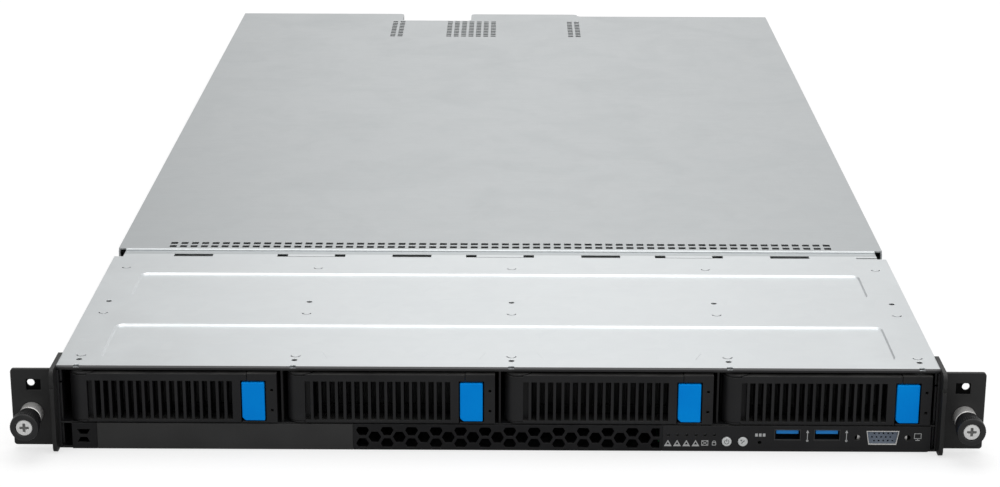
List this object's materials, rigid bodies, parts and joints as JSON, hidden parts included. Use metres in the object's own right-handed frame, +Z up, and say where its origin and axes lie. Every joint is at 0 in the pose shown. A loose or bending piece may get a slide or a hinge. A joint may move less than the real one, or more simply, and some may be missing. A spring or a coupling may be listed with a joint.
{
  "type": "1u rack server",
  "caption": "Low rack server with front drive trays on swing levers, sliding top cover, captive thumbscrews, fans and rear power supplies.",
  "frame": {"origin": "middle of the underside, in the plane of the rear faces of the rack ears, which is also the front edge of the top cover", "axes": "+X to the right seen from the front, +Y to the back of the server, +Z up"},
  "size_m": [0.4846, 0.8771, 0.0443],
  "materials": {
    "zinc_steel": "satin",
    "cover_steel": "satin",
    "black_steel": "matte",
    "black_plastic": "matte",
    "blue_plastic": "satin",
    "usb_blue": "satin",
    "nickel": "polished",
    "white_cap": "satin",
    "grey_insert": "matte",
    "light_guide": "clear",
    "circuit_board": "satin",
    "drive_cast": "cast",
    "bare_aluminium": "satin",
    "fan_plastic": "matte",
    "latch_plastic": "matte"
  },
  "bodies": {
    "chassis": {"chassis_base": "zinc_steel", "rear_panel": "zinc_steel", "front_cover": "cover_steel", "drive_cage": "zinc_steel", "bay_dividers": "black_steel", "left_ear": "black_steel", "right_ear": "black_steel", "screw_ferrules": "nickel", "blank_panel": "black_plastic", "mesh_panel": "black_steel", "front_io_panel": "black_plastic", "usb_sockets": "nickel", "usb_tongues": "usb_blue", "vga_shell": "nickel", "vga_insert": "grey_insert", "status_light_guides": "light_guide", "front_io_board": "circuit_board", "backplane": "circuit_board", "drive_connectors": "black_plastic", "fan_housings": "fan_plastic", "main_board": "circuit_board", "cpu_heatsinks": "bare_aluminium", "memory_modules": "circuit_board", "air_duct": "black_plastic", "psu_bay": "zinc_steel", "rear_ports": "nickel", "cover_screws": "nickel"},
    "rear_cover": {"rear_cover": "cover_steel"},
    "left_thumbscrew": {"left_knob": "black_plastic", "left_screw": "nickel"},
    "right_thumbscrew": {"right_knob": "black_plastic", "right_screw": "nickel"},
    "power_button": {"power_button": "white_cap"},
    "locate_button": {"locate_button": "white_cap"},
    "tray_1": {"drive_tray_1": "black_plastic", "hard_drive_1": "drive_cast"},
    "lever_1": {"release_lever_1": "black_plastic"},
    "tray_button_1": {"release_button_1": "blue_plastic"},
    "tray_2": {"drive_tray_2": "black_plastic", "hard_drive_2": "drive_cast"},
    "lever_2": {"release_lever_2": "black_plastic"},
    "tray_button_2": {"release_button_2": "blue_plastic"},
    "tray_3": {"drive_tray_3": "black_plastic", "hard_drive_3": "drive_cast"},
    "lever_3": {"release_lever_3": "black_plastic"},
    "tray_button_3": {"release_button_3": "blue_plastic"},
    "tray_4": {"drive_tray_4": "black_plastic", "hard_drive_4": "drive_cast"},
    "lever_4": {"release_lever_4": "black_plastic"},
    "tray_button_4": {"release_button_4": "blue_plastic"},
    "fan_1": {"fan_rotor_1": "fan_plastic"},
    "fan_2": {"fan_rotor_2": "fan_plastic"},
    "fan_3": {"fan_rotor_3": "fan_plastic"},
    "fan_4": {"fan_rotor_4": "fan_plastic"},
    "fan_5": {"fan_rotor_5": "fan_plastic"},
    "fan_6": {"fan_rotor_6": "fan_plastic"},
    "psu_1": {"power_supply_1": "zinc_steel"},
    "psu_latch_1": {"psu_latch_1": "latch_plastic"},
    "psu_2": {"power_supply_2": "zinc_steel"},
    "psu_latch_2": {"psu_latch_2": "latch_plastic"}
  },
  "joints": [
    {"name": "rear_cover_slide", "type": "slide", "parent": "chassis", "child": "rear_cover", "axis": [0, 1, 0], "range_m": [0, 0.012]},
    {"name": "left_screw_turn", "type": "hinge", "parent": "chassis", "child": "left_thumbscrew", "pos_m": [-0.23255, 0, 0.0192], "axis": [0, 1, 0], "continuous": true},
    {"name": "right_screw_turn", "type": "hinge", "parent": "chassis", "child": "right_thumbscrew", "pos_m": [0.23255, 0, 0.0192], "axis": [0, 1, 0], "continuous": true},
    {"name": "power_press", "type": "slide", "parent": "chassis", "child": "power_button", "axis": [0, 1, 0], "range_m": [0, 0.0012], "stiffness_N_per_m": 600},
    {"name": "locate_press", "type": "slide", "parent": "chassis", "child": "locate_button", "axis": [0, 1, 0], "range_m": [0, 0.0012], "stiffness_N_per_m": 600},
    {"name": "tray_1_slide", "type": "slide", "parent": "chassis", "child": "tray_1", "axis": [0, -1, 0], "range_m": [0, 0.17]},
    {"name": "lever_1_swing", "type": "hinge", "parent": "tray_1", "child": "lever_1", "pos_m": [-0.2068, 0.0048, 0.0276], "axis": [0, 0, -1], "range_deg": [0, 70]},
    {"name": "tray_button_1_press", "type": "slide", "parent": "tray_1", "child": "tray_button_1", "axis": [0, 1, 0], "range_m": [0, 0.0022], "stiffness_N_per_m": 700},
    {"name": "tray_2_slide", "type": "slide", "parent": "chassis", "child": "tray_2", "axis": [0, -1, 0], "range_m": [0, 0.17]},
    {"name": "lever_2_swing", "type": "hinge", "parent": "tray_2", "child": "lever_2", "pos_m": [-0.0982, 0.0048, 0.0276], "axis": [0, 0, -1], "range_deg": [0, 70]},
    {"name": "tray_button_2_press", "type": "slide", "parent": "tray_2", "child": "tray_button_2", "axis": [0, 1, 0], "range_m": [0, 0.0022], "stiffness_N_per_m": 700},
    {"name": "tray_3_slide", "type": "slide", "parent": "chassis", "child": "tray_3", "axis": [0, -1, 0], "range_m": [0, 0.17]},
    {"name": "lever_3_swing", "type": "hinge", "parent": "tray_3", "child": "lever_3", "pos_m": [0.0104, 0.0048, 0.0276], "axis": [0, 0, -1], "range_deg": [0, 70]},
    {"name": "tray_button_3_press", "type": "slide", "parent": "tray_3", "child": "tray_button_3", "axis": [0, 1, 0], "range_m": [0, 0.0022], "stiffness_N_per_m": 700},
    {"name": "tray_4_slide", "type": "slide", "parent": "chassis", "child": "tray_4", "axis": [0, -1, 0], "range_m": [0, 0.17]},
    {"name": "lever_4_swing", "type": "hinge", "parent": "tray_4", "child": "lever_4", "pos_m": [0.119, 0.0048, 0.0276], "axis": [0, 0, -1], "range_deg": [0, 70]},
    {"name": "tray_button_4_press", "type": "slide", "parent": "tray_4", "child": "tray_button_4", "axis": [0, 1, 0], "range_m": [0, 0.0022], "stiffness_N_per_m": 700},
    {"name": "fan_1_spin", "type": "hinge", "parent": "chassis", "child": "fan_1", "pos_m": [-0.175, 0, 0.021], "axis": [0, 1, 0], "continuous": true},
    {"name": "fan_2_spin", "type": "hinge", "parent": "chassis", "child": "fan_2", "pos_m": [-0.105, 0, 0.021], "axis": [0, 1, 0], "continuous": true},
    {"name": "fan_3_spin", "type": "hinge", "parent": "chassis", "child": "fan_3", "pos_m": [-0.035, 0, 0.021], "axis": [0, 1, 0], "continuous": true},
    {"name": "fan_4_spin", "type": "hinge", "parent": "chassis", "child": "fan_4", "pos_m": [0.035, 0, 0.021], "axis": [0, 1, 0], "continuous": true},
    {"name": "fan_5_spin", "type": "hinge", "parent": "chassis", "child": "fan_5", "pos_m": [0.105, 0, 0.021], "axis": [0, 1, 0], "continuous": true},
    {"name": "fan_6_spin", "type": "hinge", "parent": "chassis", "child": "fan_6", "pos_m": [0.175, 0, 0.021], "axis": [0, 1, 0], "continuous": true},
    {"name": "psu_1_slide", "type": "slide", "parent": "chassis", "child": "psu_1", "axis": [0, 1, 0], "range_m": [0, 0.185]},
    {"name": "psu_latch_1_press", "type": "slide", "parent": "psu_1", "child": "psu_latch_1", "axis": [-1, 0, 0], "range_m": [0, 0.0015], "stiffness_N_per_m": 800},
    {"name": "psu_2_slide", "type": "slide", "parent": "chassis", "child": "psu_2", "axis": [0, 1, 0], "range_m": [0, 0.185]},
    {"name": "psu_latch_2_press", "type": "slide", "parent": "psu_2", "child": "psu_latch_2", "axis": [-1, 0, 0], "range_m": [0, 0.0015], "stiffness_N_per_m": 800}
  ]
}
